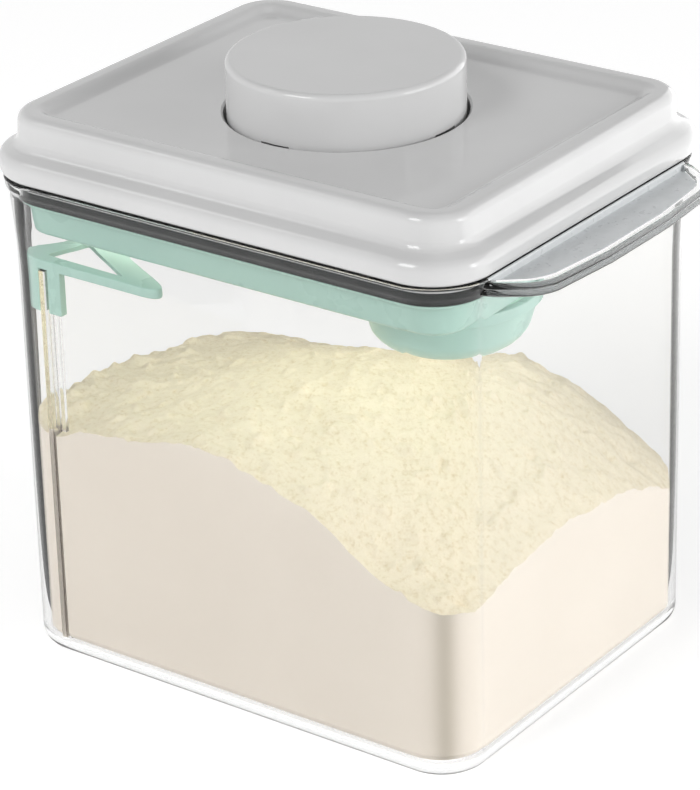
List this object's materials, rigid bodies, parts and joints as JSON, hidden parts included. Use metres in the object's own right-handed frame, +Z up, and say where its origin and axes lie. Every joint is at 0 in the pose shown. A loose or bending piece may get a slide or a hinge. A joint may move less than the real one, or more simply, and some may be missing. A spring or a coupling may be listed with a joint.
{
  "type": "airtight powder box",
  "caption": "Clear rectangular airtight box for formula powder, with a push-button pop lid, ring seal, hanging scoop and corner leveller.",
  "frame": {"origin": "middle of the container's flat base, on the surface it stands on", "axes": "+Z up, +X towards the lip that stands out under the lid, +Y from the long front face to the back"},
  "size_m": [0.1717, 0.1288, 0.1735],
  "materials": {
    "clear_plastic": "gloss",
    "powder": "matte",
    "grey_plastic": "gloss",
    "mint_plastic": "satin",
    "dark_silicone": "satin",
    "white_plastic": "satin",
    "steel": "satin"
  },
  "bodies": {
    "container": {"container_body": "clear_plastic", "formula_powder": "powder"},
    "leveller": {"leveller": "mint_plastic"},
    "lid": {"lid_cover": "grey_plastic", "base_plate": "grey_plastic", "base_plate_screws": "steel", "rocker_pins": "steel", "latch_keeper": "white_plastic", "seal_ring": "dark_silicone", "return_spring": "steel"},
    "button": {"button_cap": "grey_plastic", "plunger": "white_plastic", "plunger_screws": "steel"},
    "inner_lid": {"inner_lid": "mint_plastic", "lift_yokes": "white_plastic"},
    "scoop": {"scoop": "mint_plastic"},
    "rocker_right": {"rocker_right": "white_plastic"},
    "rocker_back": {"rocker_back": "white_plastic"},
    "rocker_left": {"rocker_left": "white_plastic"},
    "rocker_front": {"rocker_front": "white_plastic"},
    "latch": {"latch_pin": "steel"}
  },
  "joints": [
    {"name": "lid_lift", "type": "slide", "parent": "container", "child": "lid", "axis": [0, 0, 1], "range_m": [0, 0.09]},
    {"name": "leveller_lift", "type": "slide", "parent": "container", "child": "leveller", "axis": [0, 0, 1], "range_m": [0, 0.0406]},
    {"name": "button_press", "type": "slide", "parent": "lid", "child": "button", "axis": [0, 0, -1], "range_m": [0, 0.0125], "stiffness_N_per_m": 400, "springref_m": -0.01, "deforming": ["return_spring"]},
    {"name": "inner_lid_squeeze", "type": "slide", "parent": "lid", "child": "inner_lid", "axis": [0, 0, 1], "range_m": [0, 0.00171], "deforming": ["seal_ring"]},
    {"name": "scoop_release", "type": "slide", "parent": "inner_lid", "child": "scoop", "axis": [0, 0, -1], "range_m": [0, 0.018]},
    {"name": "rocker_right_swing", "type": "hinge", "parent": "lid", "child": "rocker_right", "pos_m": [0.042, 0, 0.1455], "axis": [0, -1, 0], "range_deg": [0, 23.27]},
    {"name": "rocker_back_swing", "type": "hinge", "parent": "lid", "child": "rocker_back", "pos_m": [0, 0.042, 0.1455], "axis": [1, 0, 0], "range_deg": [0, 23.27]},
    {"name": "rocker_left_swing", "type": "hinge", "parent": "lid", "child": "rocker_left", "pos_m": [-0.042, 0, 0.1455], "axis": [0, 1, 0], "range_deg": [0, 23.27]},
    {"name": "rocker_front_swing", "type": "hinge", "parent": "lid", "child": "rocker_front", "pos_m": [0, -0.042, 0.1455], "axis": [-1, 0, 0], "range_deg": [0, 23.27]},
    {"name": "latch_swing", "type": "hinge", "parent": "lid", "child": "latch", "pos_m": [0.013, 0.013, 0.1372], "axis": [0.7071, 0.7071, 0], "range_deg": [0, 7.01]}
  ],
  "couplings": [
    {"joint": "leveller_lift", "follows": "lid_lift", "ratio": 0.45},
    {"joint": "inner_lid_squeeze", "follows": "button_press", "ratio": 0.13548},
    {"joint": "rocker_right_swing", "follows": "button_press", "rad_per_m": 32.481},
    {"joint": "rocker_back_swing", "follows": "button_press", "rad_per_m": 32.481},
    {"joint": "rocker_left_swing", "follows": "button_press", "rad_per_m": 32.481},
    {"joint": "rocker_front_swing", "follows": "button_press", "rad_per_m": 32.481},
    {"joint": "latch_swing", "follows": "button_press", "rad_per_m": 9.7738}
  ]
}
